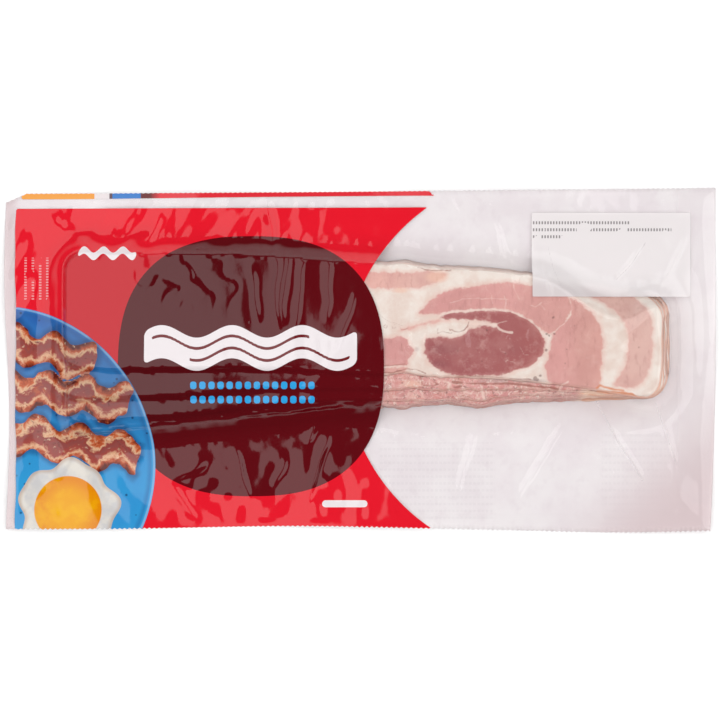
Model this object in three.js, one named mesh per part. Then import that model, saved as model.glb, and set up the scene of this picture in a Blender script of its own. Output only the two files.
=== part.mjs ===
// A flat vacuum pack of sliced bacon, lying on its back with the printed face up.
// Two webs of film are sealed together round a fanned stack of slices. The pack is shut and
// airless, so it is one solid: the film's outer form, drawn down tight over the stack.
// X runs along the pack, Y across it, Z out of the printed face. Millimetres.

import * as THREE from "three";

// The sealed film, cut from the roll
const PACK_LENGTH = 285;
const PACK_WIDTH = 138;
const FILM_THICKNESS = 0.5;

// Its four cut edges, none of them quite straight
const LEFT_EDGE = { wander: 1, crest: 37, halfWave: 65 };
const RIGHT_EDGE = { pinch: 2.2, pinchBelow: 8, pinchReach: 76 };
const TOP_EDGE = { rise: 2.4, risePower: 1.5, clipLength: 8, clipDepth: 3.6 };
const BOTTOM_EDGE = { hollow: 1.2, hollowAt: -24, hollowReach: 50, belly: 1.3, bellyAt: 105, bellyReach: 45 };

// The slices, lowest first: their right ends lie together, and further along the upper
// ones are pushed towards the top of the pack, so that they fan out to the left
const SLICE_COUNT = 7;
const SLICE_LENGTH = 240;
const SLICE_THICKNESS = 1.7;
const SLICE_CORNER = 9;
const SLICE_END = { x: 124.4, y: -15.4, setback: 0.4, width: 42 };
const SLICE_FAR_WIDTH = 48;
const FAN = { rise: 12.8, bend: 70, droop: 7 };
const SLICE_EDGE = { wander: 1, waveLength: 17, shift: 0.7, softness: 1.3 };

// The film that bridges from the top of the stack down to the seal
const STACK_HEIGHT = SLICE_COUNT * SLICE_THICKNESS;
const BRIDGE_SHARE = 0.72;
const BRIDGE_REACH = { above: 10, below: 15, from: 20, to: -10 };
const BRIDGE_SAG = 2.6;

// The rim stands a little off the table, since only the filled middle weighs on it
const RIM_LIFT = 1.8;
const RIM_LIFT_REACH = 16;
const RIM_WAVE_MEAN = 0.55;
const RIM_WAVE_SWING = 0.45;
const RIM_WAVE_ALONG = 21;
const RIM_WAVE_ACROSS = 13;

// Folds that the vacuum pulls from the stack to the seal, each from its start to its end
const FOLD_HEIGHT = 1.3;
const FOLD_WIDTH = 4;
const FOLD_ROOT = 0.25;
const FOLDS = [
  [new THREE.Vector2(115, -16), new THREE.Vector2(127, -42)],
  [new THREE.Vector2(93, -16), new THREE.Vector2(114, -50)],
  [new THREE.Vector2(86, -18), new THREE.Vector2(62, -58)],
  [new THREE.Vector2(62, 34), new THREE.Vector2(54, 58)],
  [new THREE.Vector2(120, 28), new THREE.Vector2(132, 52)],
  [new THREE.Vector2(-43, 44), new THREE.Vector2(-42, 62)],
  [new THREE.Vector2(-86, 46), new THREE.Vector2(-80, 62)],
  [new THREE.Vector2(-114, 44), new THREE.Vector2(-128, 60)],
  [new THREE.Vector2(-112, -20), new THREE.Vector2(-128, -50)],
  [new THREE.Vector2(-40, -22), new THREE.Vector2(-46, -54)],
  [new THREE.Vector2(10, -20), new THREE.Vector2(6, -50)],
];

// Grid lines of the upper face: each stretch is [share of the side where it ends, cells].
// The cells are finest over the ends and the long edges of the stack.
const LENGTHWISE_STRETCHES = [
  [0.06, 4],
  [0.13, 10],
  [0.88, 44],
  [0.96, 12],
  [1, 4],
];
const CROSSWISE_STRETCHES = [
  [0.3, 8],
  [0.5, 14],
  [0.7, 8],
  [0.9, 14],
  [1, 4],
];
const UNDERSIDE_STEP = 2;

const smooth = (low, high, value) => THREE.MathUtils.smoothstep(value, low, high);
const bell = (value, middle, reach) => Math.exp(-(((value - middle) / reach) ** 2));

function leftEdge(y) {
  const wave = Math.cos((Math.PI * (y - LEFT_EDGE.crest)) / LEFT_EDGE.halfWave);
  return LEFT_EDGE.wander * (1 - wave) - PACK_LENGTH / 2;
}

function rightEdge(y) {
  const below = Math.max(0, (RIGHT_EDGE.pinchBelow - y) / RIGHT_EDGE.pinchReach);
  return PACK_LENGTH / 2 - RIGHT_EDGE.pinch * below * below;
}

function topEdge(x) {
  const along = Math.max(0, x / PACK_LENGTH + 1 / 2);
  const rise = TOP_EDGE.rise * (1 - Math.pow(along, TOP_EDGE.risePower));
  const clip = TOP_EDGE.clipDepth * Math.max(0, 1 - (along * PACK_LENGTH) / TOP_EDGE.clipLength);
  return PACK_WIDTH / 2 - rise - clip;
}

function bottomEdge(x) {
  const hollow = BOTTOM_EDGE.hollow * bell(x, BOTTOM_EDGE.hollowAt, BOTTOM_EDGE.hollowReach);
  const belly = BOTTOM_EDGE.belly * bell(x, BOTTOM_EDGE.bellyAt, BOTTOM_EDGE.bellyReach);
  return BOTTOM_EDGE.belly - PACK_WIDTH / 2 + hollow - belly;
}

// A point of the film from its shares along and across the pack
function filmPoint(along, across) {
  const x = (along - 1 / 2) * PACK_LENGTH;
  const y = bottomEdge(x) + (topEdge(x) - bottomEdge(x)) * across;
  const side = leftEdge(y) + (rightEdge(y) - leftEdge(y)) * along;
  return new THREE.Vector2(side, y);
}

// Distance of a point outside one slice, negative inside: a strip with round corners, bent
// across the pack by the fan, whose long edges wander a little
function outsideSlice(point, index) {
  const share = index / (SLICE_COUNT - 1);
  const along = SLICE_END.x - SLICE_END.setback * index - point.x;
  const rise = share * FAN.rise * (1 - Math.exp(-Math.max(along, 0) / FAN.bend));
  const droop = ((1 - share) * FAN.droop * along) / SLICE_LENGTH;
  const phase = point.x / SLICE_EDGE.waveLength + SLICE_EDGE.shift * index;
  const across = point.y - SLICE_END.y - rise + droop - SLICE_EDGE.wander * Math.sin(phase);
  const width = THREE.MathUtils.lerp(SLICE_END.width, SLICE_FAR_WIDTH, along / SLICE_LENGTH);
  const pastEnd = Math.abs(along - SLICE_LENGTH / 2) - SLICE_LENGTH / 2 + SLICE_CORNER;
  const pastSide = Math.abs(across - width / 2) - width / 2 + SLICE_CORNER;
  const round = Math.hypot(Math.max(pastEnd, 0), Math.max(pastSide, 0));
  return round + Math.min(Math.max(pastEnd, pastSide), 0) - SLICE_CORNER;
}

// Height that the folds add: each is a rounded ridge that dies out towards the seal
function foldHeight(point) {
  return FOLDS.reduce((height, [start, end]) => {
    const run = end.clone().sub(start);
    const share = point.clone().sub(start).dot(run) / run.lengthSq();
    const along = THREE.MathUtils.clamp(share, 0, 1);
    const away = point.distanceTo(start.clone().addScaledVector(run, along));
    const fade = Math.sin(Math.PI * Math.min(along + FOLD_ROOT, 1));
    return height + FOLD_HEIGHT * fade * bell(away, 0, FOLD_WIDTH);
  }, 0);
}

function rimLift(point) {
  const fromEdge = Math.min(
    point.x - leftEdge(point.y),
    rightEdge(point.y) - point.x,
    point.y - bottomEdge(point.x),
    topEdge(point.x) - point.y,
  );
  const phase = point.x / RIM_WAVE_ALONG + point.y / RIM_WAVE_ACROSS;
  const wave = RIM_WAVE_MEAN + RIM_WAVE_SWING * Math.sin(phase);
  return RIM_LIFT * wave * (1 - smooth(0, RIM_LIFT_REACH, Math.max(fromEdge, 0)));
}

// Height of the printed film: the stepped stack, or the film that bridges down to the seal
function filmHeight(point) {
  let stack = 0;
  let nearest = Infinity;
  for (let i = 0; i < SLICE_COUNT; i += 1) {
    const outside = outsideSlice(point, i);
    stack += SLICE_THICKNESS * (1 - smooth(-SLICE_EDGE.softness, SLICE_EDGE.softness, outside));
    nearest = Math.min(nearest, outside);
  }
  const belowness = 1 - smooth(BRIDGE_REACH.to, BRIDGE_REACH.from, point.y);
  const reach = THREE.MathUtils.lerp(BRIDGE_REACH.above, BRIDGE_REACH.below, belowness);
  const slack = THREE.MathUtils.clamp(1 - Math.max(nearest, 0) / reach, 0, 1);
  const bridge = BRIDGE_SHARE * STACK_HEIGHT * Math.pow(slack, BRIDGE_SAG);
  return rimLift(point) + FILM_THICKNESS + Math.max(stack, bridge) + foldHeight(point);
}

// Shares of a side at which the grid lines lie
function gridLines(stretches) {
  const lines = [0];
  for (const [end, cells] of stretches) {
    const start = lines[lines.length - 1];
    for (let i = 1; i <= cells; i += 1) lines.push(start + ((end - start) * i) / cells);
  }
  return lines;
}

// The rim of a grid as vertex numbers, anticlockwise from above
function rimOf(columns, rows, first) {
  const at = (i, j) => first + j * columns + i;
  const rim = [];
  for (let i = 0; i < columns - 1; i += 1) rim.push(at(i, 0));
  for (let j = 0; j < rows - 1; j += 1) rim.push(at(columns - 1, j));
  for (let i = columns - 1; i > 0; i -= 1) rim.push(at(i, rows - 1));
  for (let j = rows - 1; j > 0; j -= 1) rim.push(at(0, j));
  return rim;
}

// Two triangles for each cell, facing up, or down for the underside
function gridFaces(columns, rows, first, facingUp) {
  const faces = [];
  for (let j = 0; j < rows - 1; j += 1) {
    for (let i = 0; i < columns - 1; i += 1) {
      const a = first + j * columns + i;
      const corners = [a, a + 1, a + columns + 1, a + columns];
      const [p, q, r, s] = facingUp ? corners : corners.reverse();
      faces.push(p, q, r, p, r, s);
    }
  }
  return faces;
}

// The narrow wall between the rims: each edge of the coarse lower rim fans out to the
// edges of the fine upper rim above it
function wallFaces(above, below) {
  return below.flatMap((low, k) => {
    const lowNext = below[(k + 1) % below.length];
    const faces = [];
    for (let step = 0; step < UNDERSIDE_STEP; step += 1) {
      const high = UNDERSIDE_STEP * k + step;
      faces.push(low, above[(high + 1) % above.length], above[high]);
    }
    faces.push(low, lowNext, above[(UNDERSIDE_STEP * (k + 1)) % above.length]);
    return faces;
  });
}

// Points of one face of the pack, row by row from the lower left corner
function facePoints(along, across, height) {
  return across.flatMap((v) =>
    along.flatMap((u) => {
      const point = filmPoint(u, v);
      return [point.x, point.y, height(point)];
    }),
  );
}

// The pack: a fine grid above, a coarser one below, and the wall that joins their rims
function packGeometry() {
  const along = gridLines(LENGTHWISE_STRETCHES);
  const across = gridLines(CROSSWISE_STRETCHES);
  const alongBelow = along.filter((_, i) => i % UNDERSIDE_STEP === 0);
  const acrossBelow = across.filter((_, i) => i % UNDERSIDE_STEP === 0);
  const firstBelow = along.length * across.length;
  const above = rimOf(along.length, across.length, 0);
  const below = rimOf(alongBelow.length, acrossBelow.length, firstBelow);
  const points = [
    ...facePoints(along, across, filmHeight),
    ...facePoints(alongBelow, acrossBelow, rimLift),
  ];
  const geometry = new THREE.BufferGeometry();
  geometry.setAttribute("position", new THREE.Float32BufferAttribute(points, 3));
  geometry.setIndex([
    ...gridFaces(along.length, across.length, 0, true),
    ...gridFaces(alongBelow.length, acrossBelow.length, firstBelow, false),
    ...wallFaces(above, below),
  ]);
  geometry.computeVertexNormals();
  return geometry;
}

const printedFilm = new THREE.MeshStandardMaterial({
  color: 0xea2a38,
  roughness: 0.25,
  metalness: 0,
});

const sealedPack = new THREE.Mesh(packGeometry(), printedFilm);
sealedPack.name = "sealed_pack";

const baconPack = new THREE.Group();
baconPack.add(sealedPack);

export default baconPack;
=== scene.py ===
# A flat vacuum pack of sliced bacon, lying face up: a fan of slices between a milky back web
# and a printed top web with a round clear window. Every number for a shape is in millimetres,
# and a mesh is turned to metres as it is made. X runs along the pack, Y across it, Z up.

import bpy
import numpy as np
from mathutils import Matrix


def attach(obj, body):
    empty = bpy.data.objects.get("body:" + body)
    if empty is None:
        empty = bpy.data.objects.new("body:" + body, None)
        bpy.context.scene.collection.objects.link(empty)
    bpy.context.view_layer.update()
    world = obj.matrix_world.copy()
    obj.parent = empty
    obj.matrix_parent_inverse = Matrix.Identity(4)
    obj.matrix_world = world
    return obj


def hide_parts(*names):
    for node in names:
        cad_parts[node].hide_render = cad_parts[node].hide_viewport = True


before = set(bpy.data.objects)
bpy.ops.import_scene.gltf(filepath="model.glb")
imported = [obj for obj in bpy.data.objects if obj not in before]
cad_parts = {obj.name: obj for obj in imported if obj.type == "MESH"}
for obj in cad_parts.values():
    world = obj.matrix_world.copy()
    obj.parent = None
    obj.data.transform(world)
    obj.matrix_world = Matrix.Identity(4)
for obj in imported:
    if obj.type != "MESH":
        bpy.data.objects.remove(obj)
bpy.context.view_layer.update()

# Back web
# The lower film, milky polyamide and polyethylene about 0.1 mm thick. Both webs are slit and
# guillotined from the roll together, so they share one outline, whose edges all wander a little.
MM = 0.001
PACK_LENGTH = 285
PACK_WIDTH = 138
FILM_COLUMNS = 570
BACK_ROWS = 60
BLADE_TOOTH = 0.4
RIM_GAP = 0.3
RIM_LIFT = 1.8
RIM_WIDTH = 16
MILK = 0.82
# Blocks of faint print on its inside: their lower left and upper right corners.
FAINT_BLOCKS = [((8, -64), (54, -33)), ((97, -66), (131, -29))]


def bell(value, middle, reach):
    """Bump of height 1: e to minus the square of the distance from the middle over the reach."""
    return np.exp(-(((value - middle) / reach) ** 2))


def smooth(low, high, value):
    """Smoothstep: 3t² - 2t³, where t is the share of the way from low to high, held to 0..1."""
    t = np.clip((value - low) / (high - low), 0, 1)
    return t * t * (3 - 2 * t)


def noise(x, y, size, seed):
    """Value noise from -1 to 1: seeded random numbers on a turned net of that size, joined by
    smoothstep."""
    table = np.random.default_rng(seed).uniform(-1, 1, (256, 256))
    turned = (np.cos(seed) * x - np.sin(seed) * y) / size
    crossed = (np.sin(seed) * x + np.cos(seed) * y) / size
    column, row = np.floor(turned).astype(int), np.floor(crossed).astype(int)
    right, up = smooth(0, 1, turned - column), smooth(0, 1, crossed - row)
    low, high = (table[r % 256, column % 256] * (1 - right) + table[r % 256, (column + 1) % 256] * right
                 for r in (row, row + 1))
    return low * (1 - up) + high * up


def left_edge(y):
    """X of the left cut: a cosine of amplitude 1 and half wave 65, just inside half the length."""
    return 1 - np.cos(np.pi * (y - 37) / 65) - PACK_LENGTH / 2


def right_edge(y):
    """X of the right cut: straight above, then drawn in by a parabola towards the bottom."""
    return PACK_LENGTH / 2 - 2.2 * (np.maximum(0, 8 - y) / 76) ** 2


def top_edge(x):
    """Y of the top cut: it rises 2.4 to the right as a power of 1.5, with its left corner clipped."""
    along = np.maximum(0, x / PACK_LENGTH + 1 / 2)
    return PACK_WIDTH / 2 - 2.4 * (1 - along**1.5) - 3.6 * np.maximum(0, 1 - along * PACK_LENGTH / 8)


def bottom_edge(x):
    """Y of the bottom cut: a shallow hollow left of the middle and a belly towards the right."""
    return 1.3 - PACK_WIDTH / 2 + 1.2 * bell(x, -24, 50) - 1.3 * bell(x, 105, 45)


def film_grid(rows):
    """X and Y of a web's grid: shares along and across the pack, carried between the long cuts
    and then between the short ones. The toothed blade moves the ends of each column by a
    triangle wave, four columns to a tooth, deeper where it was sharp."""
    along = np.linspace(0, 1, FILM_COLUMNS + 1)
    across, along = np.meshgrid(np.linspace(0, 1, rows + 1), along, indexing="ij")
    x = (along - 1 / 2) * PACK_LENGTH
    y = bottom_edge(x) + (top_edge(x) - bottom_edge(x)) * across
    tooth = BLADE_TOOTH * (np.abs(np.arange(FILM_COLUMNS + 1) % 4 - 2) - 1)
    y[0] += tooth * (0.6 + 0.4 * noise(x[0], y[0], 13, 8))
    y[-1] += tooth * (0.3 + 0.2 * noise(x[0], y[0], 17, 9))
    return left_edge(y) + (right_edge(y) - left_edge(y)) * along, y


def from_edge(x, y):
    """Distance inside the nearest cut, taken along X or Y, and 0 on the teeth."""
    sides = np.minimum(x - left_edge(y), right_edge(y) - x)
    return np.maximum(np.minimum(sides, np.minimum(y - bottom_edge(x), top_edge(x) - y)), 0)


def rim_lift(x, y):
    """Height of the rim off the table: up to 1.8 in slow waves, dying out 16 inside the cuts."""
    wave = 0.55 + 0.45 * np.sin(x / 21 + y / 13)
    return RIM_LIFT * wave * (1 - smooth(0, RIM_WIDTH, from_edge(x, y)))


def grid_quads(rows, columns):
    """Corner numbers of the quads of a grid stored row by row, anticlockwise from above."""
    at = np.arange(rows * columns).reshape(rows, columns)
    return np.stack([at[:-1, :-1], at[:-1, 1:], at[1:, 1:], at[1:, :-1]], -1).reshape(-1, 4)


def rim_of(rows, columns):
    """Numbers of the vertices round a grid's rim, anticlockwise from above."""
    at = np.arange(rows * columns).reshape(rows, columns)
    return np.concatenate([at[0, :-1], at[:-1, -1], at[-1, :0:-1], at[:0:-1, 0]])


def new_piece(name, points, quads, material, fields):
    """A smooth mesh from points in millimetres, with one float attribute for each field. It
    stands for the sealed pack's solid and rides on its one body."""
    mesh = bpy.data.meshes.new(name)
    mesh.from_pydata((points * MM).tolist(), [], quads.tolist())
    mesh.shade_smooth()
    for field, values in fields.items():
        attribute = mesh.attributes.new(field, "FLOAT", "POINT")
        attribute.data.foreach_set("value", values.astype(np.float32).ravel())
    mesh.materials.append(material)
    piece = bpy.data.objects.new(name, mesh)
    bpy.context.scene.collection.objects.link(piece)
    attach(piece, "root")
    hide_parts("sealed_pack")


def colour(text):
    """Linear colour of an sRGB hex value, by the sRGB curve, with alpha 1."""
    s = np.array([int(text[i:i + 2], 16) for i in (1, 3, 5)]) / 255
    return (*np.where(s <= 0.04045, s / 12.92, ((s + 0.055) / 1.055) ** 2.4).tolist(), 1)


def add(tree, kind, sockets, **settings):
    """A new shader node. Its settings are its properties, and each socket gets a value, an
    output, or another node's first live output."""
    node = tree.nodes.new("ShaderNode" + kind)
    for name, value in settings.items():
        setattr(node, name, value)
    for key, value in sockets.items():
        if isinstance(value, bpy.types.Node):
            value = next(output for output in value.outputs if output.enabled)
        if isinstance(value, bpy.types.NodeSocket):
            tree.links.new(value, node.inputs[key])
        else:
            node.inputs[key].default_value = value
    return node


def new_material(name):
    """An empty node material: the material, its tree, and Object coordinates."""
    material = bpy.data.materials.new(name)
    material.use_nodes = True
    tree = material.node_tree
    tree.nodes.clear()
    return material, tree, add(tree, "TexCoord", {}).outputs["Object"]


def maths(tree, operation, *values):
    """Arithmetic on single values."""
    return add(tree, "Math", dict(enumerate(values)), operation=operation)


def vectors(tree, operation, *values):
    """Arithmetic on vectors."""
    return add(tree, "VectorMath", dict(enumerate(values)), operation=operation)


def ramp(tree, value, low, high, most=1.0, curve="LINEAR"):
    """0 to most as a value passes from low to high, evenly or by another curve."""
    return add(tree, "MapRange", {0: value, 1: low, 2: high, 4: most}, interpolation_type=curve)


def mesh_field(tree, name):
    """Value of a mesh field."""
    return add(tree, "Attribute", {}, attribute_name=name).outputs["Fac"]


def field_share(tree, name, low, high, most=1.0):
    """0 to most, by smoothstep, as a mesh field passes from low to high."""
    return ramp(tree, mesh_field(tree, name), low, high, most, "SMOOTHSTEP")


def cloud(tree, place, scale, detail, roughness=0.5, twist=0.0):
    """Noise around 0.5, of so many cells to a metre."""
    return add(tree, "TexNoise", {"Vector": place, "Scale": scale, "Detail": detail,
                                  "Roughness": roughness, "Distortion": twist})


def patches(tree, place, size, low, high, most=1.0, detail=4.0, twist=0.0):
    """0 to most, by smoothstep, as noise of that size in millimetres passes from low to high."""
    value = cloud(tree, place, 1 / (size * MM), detail, 0.6, twist)
    return ramp(tree, value, low, high, most, "SMOOTHSTEP")


def coated(tree, tint, coats):
    """A colour under coats of others, each laid on by its share from 0 to 1, or by a mesh field:
    its name and the values that make it a share."""
    for share, coat in coats:
        share = field_share(tree, *share) if isinstance(share, tuple) else share
        coat = colour(coat) if isinstance(coat, str) else coat
        tint = add(tree, "Mix", {0: share, 6: tint, 7: coat}, data_type="RGBA")
    return tint


def graded(tree, value, stops):
    """A colour that passes through stops, each of them a value and its sRGB hex colour."""
    pairs = zip(stops, stops[1:])
    return coated(tree, colour(stops[0][1]), [(ramp(tree, value, start, end), text)
                                              for (start, _), (end, text) in pairs])


def all_of(tree, first, second):
    """Share where both of two shares hold: their product."""
    return maths(tree, "MULTIPLY", first, second)


def dashes(tree, place, first, pitch, half, corner, low, high):
    """Mask of rows of small rounded bars, repeated at a pitch between two corners of a block.
    A point's place in its cell, less half a bar, held above 0, is within the corner's radius."""
    masks = []
    cell = [MM * v / 2 for v in pitch]
    middle = [(a + b) / 2 for a, b in zip(low, high)]
    block = [(b - a) / 2 for a, b in zip(low, high)]
    for origin, size, wrapped in ((first, half, True), (middle, block, False)):
        spot = vectors(tree, "SUBTRACT", place, (*(MM * v for v in origin), 0))
        if wrapped:
            spot = vectors(tree, "WRAP", spot, (*cell, 1), (*(-v for v in cell), -1))
        spot = vectors(tree, "ABSOLUTE", vectors(tree, "MULTIPLY", spot, (1, 1, 0)))
        spot = vectors(tree, "SUBTRACT", spot, (*(MM * (v - corner) for v in size), 0))
        length = vectors(tree, "LENGTH", vectors(tree, "MAXIMUM", spot, (0, 0, 0))).outputs["Value"]
        masks.append(ramp(tree, length, MM * (corner + 0.05), MM * (corner - 0.05)))
    return all_of(tree, *masks)


def milky_film():
    """Milky polyethylene and polyamide, blown and calendered: white with a lilac tint, half
    glossy, faintly clouded and crazed, with pale ashen rows printed on its inside, painted shade
    at its lower right corner and a darker tone along its left cut."""
    material, tree, place = new_material("milky_polyethylene_film")
    rows = [dashes(tree, place, (0, 0), (1.7, 2.75), (0.6, 0.5), 0.2, *block) for block in FAINT_BLOCKS]
    tint = coated(tree, colour("#f3eaed"), [
        (patches(tree, place, 26, 0.35, 0.65), "#faf4f5"),
        (patches(tree, place, 5, 0.5, 0.7, 0.3), "#e8dce1"),
        *((all_of(tree, row, 0.08), "#a89fa6") for row in rows),
        # Painted shade at the lower right corner, and a darker tone along the left cut.
        (("corner_shade_and_left_tone", 0, 1), "#e0cbcd"),
    ])
    fine = cloud(tree, place, 700, 3)
    bump = add(tree, "Bump", {"Height": fine, "Strength": 0.07, "Distance": 0.0002})
    film = add(tree, "BsdfPrincipled",
               {"Base Color": tint, "Roughness": 0.32, "IOR": 1.5, "Normal": bump})
    clear = add(tree, "BsdfTransparent", {})
    milky = add(tree, "MixShader", {0: MILK, 1: clear, 2: film})
    add(tree, "OutputMaterial", {"Surface": milky})
    return material


x, y = film_grid(BACK_ROWS)
wrinkle = 0.06 + 0.04 * noise(x, y, 11, 1) + 0.02 * noise(x, y, 3.5, 2)
web = np.stack([x, y, rim_lift(x, y) + wrinkle], -1).reshape(-1, 3)
low_rim = rim_of(*x.shape)
high_rim = web[low_rim]
high_rim[:, 2] = rim_lift(high_rim[:, 0], high_rim[:, 1]) + RIM_GAP
above = len(web) + np.arange(len(low_rim))
wall = np.stack([low_rim, np.roll(low_rim, -1), np.roll(above, -1), above], -1)
quads = np.vstack([grid_quads(*x.shape)[:, ::-1], wall])
web = np.vstack([web, high_rim])
# Painted shade: a darker pink tone at the lower right corner, where the film turns away from
# the lamps, and a darker pink tone along the left cut.
corner_shade_and_left_tone = smooth(125, 205, web[:, 0] - web[:, 1]) + 0.8 * (1 - smooth(-141, -134, web[:, 0]))
new_piece("back_web", web, quads, milky_film(), {"corner_shade_and_left_tone": corner_shade_and_left_tone})

# Slices
# Seven rashers of cured, unsmoked pork, cut 1.7 mm thick by a slicer and shingled. Their right
# ends lie together, and further along the upper ones are pushed towards the top of the pack.
SLICES = 7
SLICE_THICKNESS = 1.7
SLICE_LENGTH = 240
SLICE_CORNER = 9
SLICE_RIM = 0.6
SLICE_ENDS = [123.2, 123.0, 122.6, 122.1, 121.6, 121.0, 120.1]
SLICE_SHARES = [0, 0.02, 0.04, 0.06, 0.21, 0.55, 1]
LOOSE_SLICES = 2
SLICE_WIDTH = 42
TOP_FOOT = -15.7
FAN_RISE = 13.2
FAN_BEND = 70
FAN_DROOP = 18
BED = 0.28
DRAPE = 2.0
MAP_STEP = 0.5
UNSEEN = -4


def end_waver(y, index):
    """How far the end of a slice strays along X: two sines of Y, out of step with its neighbours."""
    return 0.35 * np.sin(y / 6.3 + 2.1 * index) + 0.2 * np.sin(y / 2.6 + 1.3 * index)


def slice_foot(x, index):
    """Y of a slice's lower edge. The upper slices rise by 1 - e^-(distance/bend), the lower ones
    start 0.5 higher and droop by the distance to the power 2.2, all wander, and the lowest bulge
    twice and are the most ragged."""
    share = SLICE_SHARES[index]
    along = np.maximum(SLICE_ENDS[index] - x, 0)
    rise = FAN_RISE * share * (1 - np.exp(-along / FAN_BEND)) + 1.1 * share**2 * bell(x, 20, 7)
    droop = (FAN_DROOP * (along / SLICE_LENGTH) ** 2.2 - 0.5) * (1 - share)
    lobes = (1 - share) ** 3 * (1.3 * bell(x, 18, 8) + 1.9 * bell(x, 48, 8))
    wander = 0.5 * np.sin(x / 17 + 0.7 * index) + 0.25 * noise(x, 0 * x, 6, 100 + index)
    ragged = (0.3 + 0.4 * (1 - share) * smooth(-4, 8, x)) * noise(x, 0 * x, 2.6, 110 + index)
    return TOP_FOOT + rise - droop - lobes + wander + ragged * (1 - smooth(60, 110, x))


def slice_width(x, index):
    """Width of a slice: 42 at its right end and 48 at the other, less up to 5 for the lower ones,
    whose upper edges are covered, and less two shallow hollows in the top one's upper edge. Left
    of the label all but the loose ones below end one by one, 0.25 short of the top one's edge."""
    along = np.maximum(SLICE_ENDS[index] - x, 0)
    width = SLICE_WIDTH + 6 * along / SLICE_LENGTH
    if index == SLICES - 1:
        return width - bell(x, 52, 26) - 1.1 * bell(x, 20, 7)
    narrow = 5 * (1 - SLICE_SHARES[index]) * (1 - np.exp(-along / 50))
    if index < LOOSE_SLICES:
        return width - narrow
    short = 0.25 * (SLICES - 1 - index) - slice_foot(x, SLICES - 1) + slice_foot(x, index)
    return width - narrow - (short - narrow) * (1 - smooth(70, 108, x))


def outside_slice(x, y, index):
    """Distance outside a slice, negative inside: a bent strip with round corners."""
    along = SLICE_ENDS[index] - x + end_waver(y, index) * smooth(60, 110, x)
    width = slice_width(x, index)
    past_end = np.abs(along - SLICE_LENGTH / 2) - SLICE_LENGTH / 2 + SLICE_CORNER
    past_side = np.abs(y - slice_foot(x, index) - width / 2) - width / 2 + SLICE_CORNER
    corner = np.hypot(np.maximum(past_end, 0), np.maximum(past_side, 0))
    return corner + np.minimum(np.maximum(past_end, past_side), 0) - SLICE_CORNER


def slice_body(x, y, index):
    """Share of a slice's full thickness: rounded off from 0.5 inside its edge, or squeezed to a
    wedge where its upper edge is covered: from 20 inside for the loose slices, else from 12."""
    if index < LOOSE_SLICES:
        squeezed = 20 * smooth(-14, 0, y) * smooth(124, 104, x)
    elif index < SLICES - 1:
        squeezed = 12 * smooth(0, 18, y) * smooth(124, 104, x) * smooth(70, 108, x)
    else:
        squeezed = 0
    return 1 - smooth(-0.5 - squeezed, SLICE_RIM, outside_slice(x, y, index))


def slice_grid(columns, rows, index):
    """X and Y of a slice's grid: columns across the strip, each between its two long edges, which
    the round corners bring together by r - √(r² - (r-d)²) at a distance d from the end."""
    radius = SLICE_CORNER + SLICE_RIM
    length = SLICE_LENGTH + 2 * SLICE_RIM
    to_end = np.minimum(columns, 1 - columns) * length
    inset = radius - np.sqrt(radius**2 - np.clip(radius - to_end, 0, radius) ** 2)
    column = SLICE_ENDS[index] + SLICE_RIM - columns * length
    low = slice_foot(column, index) - SLICE_RIM + inset
    high = slice_foot(column, index) + slice_width(column, index) + SLICE_RIM - inset
    y = low + (high - low) * rows[:, None]
    return column + end_waver(y, index) * smooth(60, 110, column), y


def sagged(height, reach):
    """A height map softened by a bell curve of that reach, by way of its spectrum."""
    across = np.fft.fftfreq(height.shape[0])[:, None]
    along = np.fft.rfftfreq(height.shape[1])[None, :]
    damping = np.exp(-2 * (np.pi * reach / MAP_STEP) ** 2 * (across**2 + along**2))
    return np.fft.irfft2(np.fft.rfft2(height) * damping, height.shape)


def read_map(height, x, y):
    """A height map's value at each point, by shares of the cell that it lies in."""
    u = (x - map_x[0, 0]) / MAP_STEP
    v = (y - map_y[0, 0]) / MAP_STEP
    i, j = np.floor(u).astype(int), np.floor(v).astype(int)
    low, high = (height[row, i] * (1 - u + i) + height[row, i + 1] * (u - i) for row in (j, j + 1))
    return low * (1 - v + j) + high * (v - j)


def closed_curve(corners, steps=4):
    """Smooth loop through given corners: a Catmull-Rom cubic between each two of them."""
    p = np.array(corners, float)[:, None, :]
    before, after, beyond = np.roll(p, 1, 0), np.roll(p, -1, 0), np.roll(p, -2, 0)
    t = (np.arange(steps) / steps)[None, :, None]
    square = 2 * before - 5 * p + 4 * after - beyond
    loop = p + t / 2 * (after - before + t * (square + t * (3 * p - before - 3 * after + beyond)))
    return np.vstack([loop.reshape(-1, 2), p[:1, 0]])


def distance_to_line(x, y, line):
    """Distance from each point to the nearest stretch of a line of points."""
    nearest = np.full(x.shape, 1e9)
    for (ax, ay), (bx, by) in zip(line[:-1], line[1:]):
        dx, dy = bx - ax, by - ay
        t = np.clip(((x - ax) * dx + (y - ay) * dy) / (dx * dx + dy * dy + 1e-12), 0, 1)
        nearest = np.minimum(nearest, (x - ax - t * dx) ** 2 + (y - ay - t * dy) ** 2)
    return np.sqrt(nearest)


def distance_inside(x, y, corners):
    """Distance inside a smooth loop, negative outside. A point is inside where a line from it to
    the right crosses the loop an odd number of times."""
    loop = closed_curve(corners)
    inside = np.zeros(x.shape, bool)
    for (ax, ay), (bx, by) in zip(loop[:-1], loop[1:]):
        if ay != by:
            inside ^= ((ay > y) != (by > y)) & (x < ax + (y - ay) * (bx - ax) / (by - ay))
    return np.where(inside, 1, -1) * distance_to_line(x, y, loop)


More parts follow.
